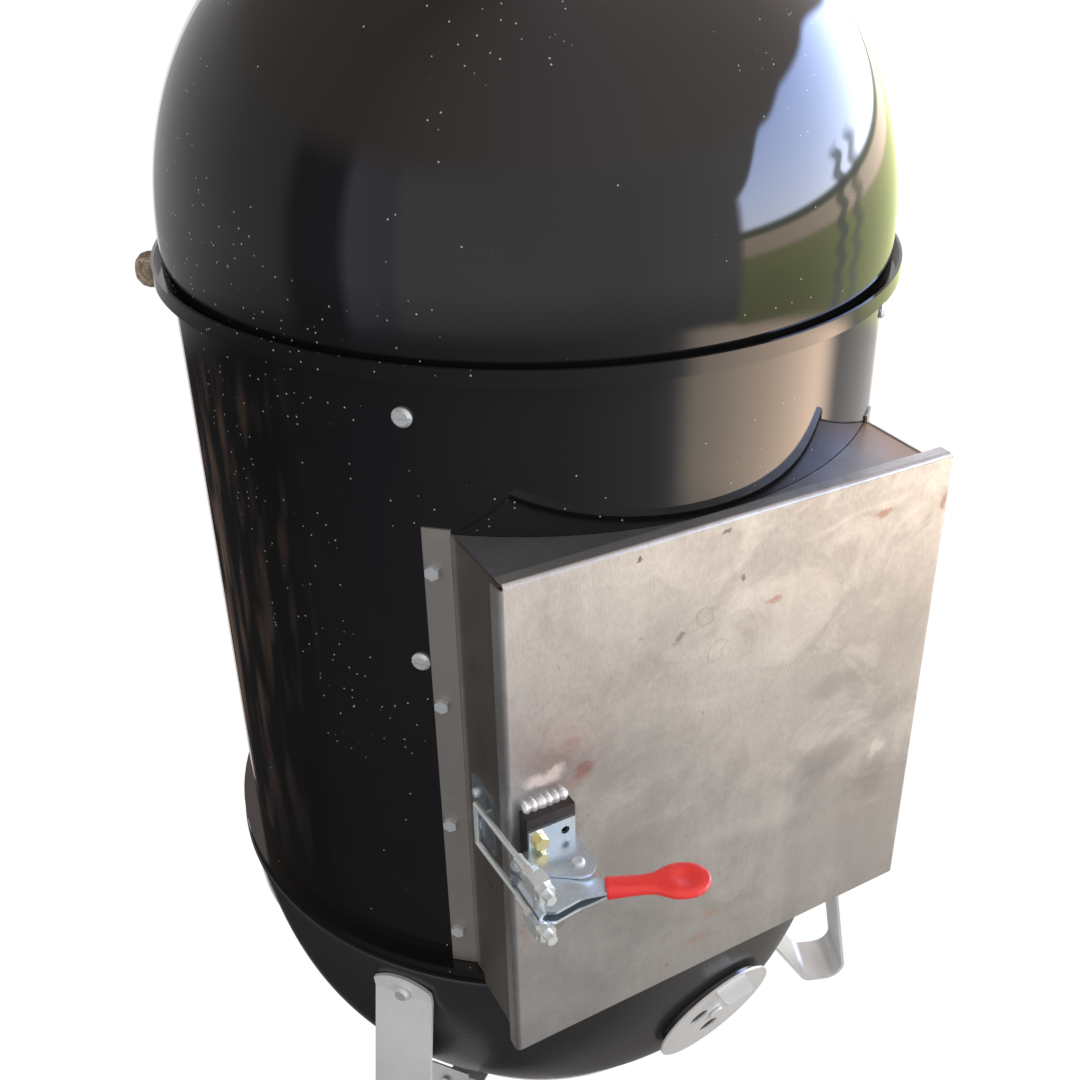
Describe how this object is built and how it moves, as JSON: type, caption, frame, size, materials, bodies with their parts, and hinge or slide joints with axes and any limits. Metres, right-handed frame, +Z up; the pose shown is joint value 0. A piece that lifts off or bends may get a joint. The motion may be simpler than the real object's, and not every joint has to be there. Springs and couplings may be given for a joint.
{
  "type": "vertical water smoker",
  "caption": "Upright bullet-shaped charcoal water smoker on strip legs, with stacked grates over a water pan and a boxed side door closed by an over-centre latch.",
  "frame": {"origin": "on the floor under the middle of the whole smoker's box, so the barrel's axis passes 13 mm to -X and 24 mm to +Y of it", "axes": "+Z up along the barrel, the loading door faces -Y, its latch is on the -X side and its hinges on the +X side"},
  "size_m": [0.5154, 0.6137, 1.036],
  "materials": {
    "enamel_bowl": "semi-matt black enamel",
    "enamel_gloss": "gloss black enamel with fine pale specks",
    "aluminium": "satin",
    "zinc": "zinc plated",
    "zinc_blue": "blue zinc plated",
    "zinc_yellow": "yellow zinc plated steel",
    "mild_steel": "bare mild steel with blotches and rust specks",
    "wire": "plated wire",
    "pan_enamel": "gloss enamel",
    "cork": "mottled brown stopper",
    "red_grip": "dipped vinyl",
    "nylon": "glass-filled nylon",
    "weld": "weld bead",
    "steel_dark": "dark scaled steel"
  },
  "bodies": {
    "base": {"charcoal_bowl": "enamel_bowl", "damper_rivets": "aluminium", "leg_1": "aluminium", "leg_2": "aluminium", "leg_3": "aluminium", "leg_bolts": "zinc", "leg_nuts": "zinc", "heat_shield": "aluminium", "shield_bolts": "zinc"},
    "vent_1": {"bowl_damper_1": "aluminium"},
    "vent_2": {"bowl_damper_2": "aluminium"},
    "vent_3": {"bowl_damper_3": "aluminium"},
    "coal_grate": {"charcoal_grate": "wire"},
    "coal_ring": {"charcoal_ring": "zinc"},
    "barrel_body": {"barrel": "enamel_gloss", "probe_plug": "cork", "frame_left": "mild_steel", "frame_right": "mild_steel", "frame_top": "mild_steel", "frame_bottom": "mild_steel", "flange_bolts": "zinc", "flange_nuts": "zinc", "grate_strap_1": "zinc", "grate_strap_2": "zinc", "grate_strap_3": "zinc", "grate_strap_4": "zinc", "strap_bolts": "zinc", "strap_nuts": "zinc", "hinge_frame_leaves": "mild_steel", "hinge_pins": "zinc", "keeper": "zinc_blue", "keeper_screws": "zinc"},
    "pan": {"water_pan": "pan_enamel"},
    "grate_low": {"lower_grate": "wire"},
    "grate_up": {"upper_grate": "wire"},
    "lid_body": {"lid": "enamel_gloss", "lid_damper_rivet": "aluminium", "lid_handle_posts": "zinc", "lid_handle_grip": "nylon", "lid_handle_nuts": "zinc", "thermometer": "zinc", "thermometer_nut": "zinc"},
    "lid_vent": {"lid_damper": "aluminium"},
    "door": {"door_panel": "mild_steel", "hinge_door_leaves": "mild_steel", "latch_pad": "steel_dark", "weld_bead": "weld", "latch_base": "zinc_blue", "latch_bolt": "zinc_yellow", "latch_rivets": "zinc"},
    "lever": {"latch_lever": "zinc_blue", "latch_grip": "red_grip"},
    "hook": {"latch_cross_pin": "zinc", "latch_u_bolt": "zinc", "latch_rod_nuts": "zinc"}
  },
  "joints": [
    {"name": "barrel_lift", "type": "slide", "parent": "base", "child": "barrel_body", "axis": [0, 0, 1], "range_m": [0, 0.1]},
    {"name": "lid_lift", "type": "slide", "parent": "barrel_body", "child": "lid_body", "axis": [0, 0, 1], "range_m": [0, 0.15]},
    {"name": "lid_vent_turn", "type": "hinge", "parent": "lid_body", "child": "lid_vent", "pos_m": [0.0864, 0.10741, 0.9584], "axis": [0.3851, 0.3231, 0.8645], "range_deg": [-60, 60]},
    {"name": "vent_1_turn", "type": "hinge", "parent": "base", "child": "vent_1", "pos_m": [0.01058, -0.20037, 0.201], "axis": [0.0998, -0.9493, -0.2981], "range_deg": [-60, 60]},
    {"name": "vent_2_turn", "type": "hinge", "parent": "base", "child": "vent_2", "pos_m": [0.16952, 0.15661, 0.201], "axis": [0.7722, 0.5611, -0.2981], "range_deg": [-60, 60]},
    {"name": "vent_3_turn", "type": "hinge", "parent": "base", "child": "vent_3", "pos_m": [-0.2191, 0.11576, 0.201], "axis": [-0.872, 0.3882, -0.2981], "range_deg": [-60, 60]},
    {"name": "coal_grate_lift", "type": "slide", "parent": "base", "child": "coal_grate", "axis": [0, 0, 1], "range_m": [0, 0.05]},
    {"name": "coal_ring_lift", "type": "slide", "parent": "coal_grate", "child": "coal_ring", "axis": [0, 0, 1], "range_m": [0, 0.08]},
    {"name": "pan_lift", "type": "slide", "parent": "barrel_body", "child": "pan", "axis": [0, 0, 1], "range_m": [0, 0.02]},
    {"name": "grate_low_lift", "type": "slide", "parent": "barrel_body", "child": "grate_low", "axis": [0, 0, 1], "range_m": [0, 0.1]},
    {"name": "grate_up_lift", "type": "slide", "parent": "barrel_body", "child": "grate_up", "axis": [0, 0, 1], "range_m": [0, 0.03]},
    {"name": "door_swing", "type": "hinge", "parent": "barrel_body", "child": "door", "pos_m": [0.1458, -0.2164, 0.5], "axis": [0, 0, 1], "range_deg": [0, 110]},
    {"name": "latch_lever_turn", "type": "hinge", "parent": "door", "child": "lever", "pos_m": [-0.164, -0.2426, 0.4657], "axis": [0, 0, -1], "range_deg": [0, 95]},
    {"name": "latch_hook_turn", "type": "hinge", "parent": "lever", "child": "hook", "pos_m": [-0.1675, -0.2716, 0.47], "axis": [0, 0, -1], "range_deg": [-95, 0]}
  ],
  "couplings": [
    {"joint": "latch_hook_turn", "follows": "latch_lever_turn", "ratio": -1}
  ]
}
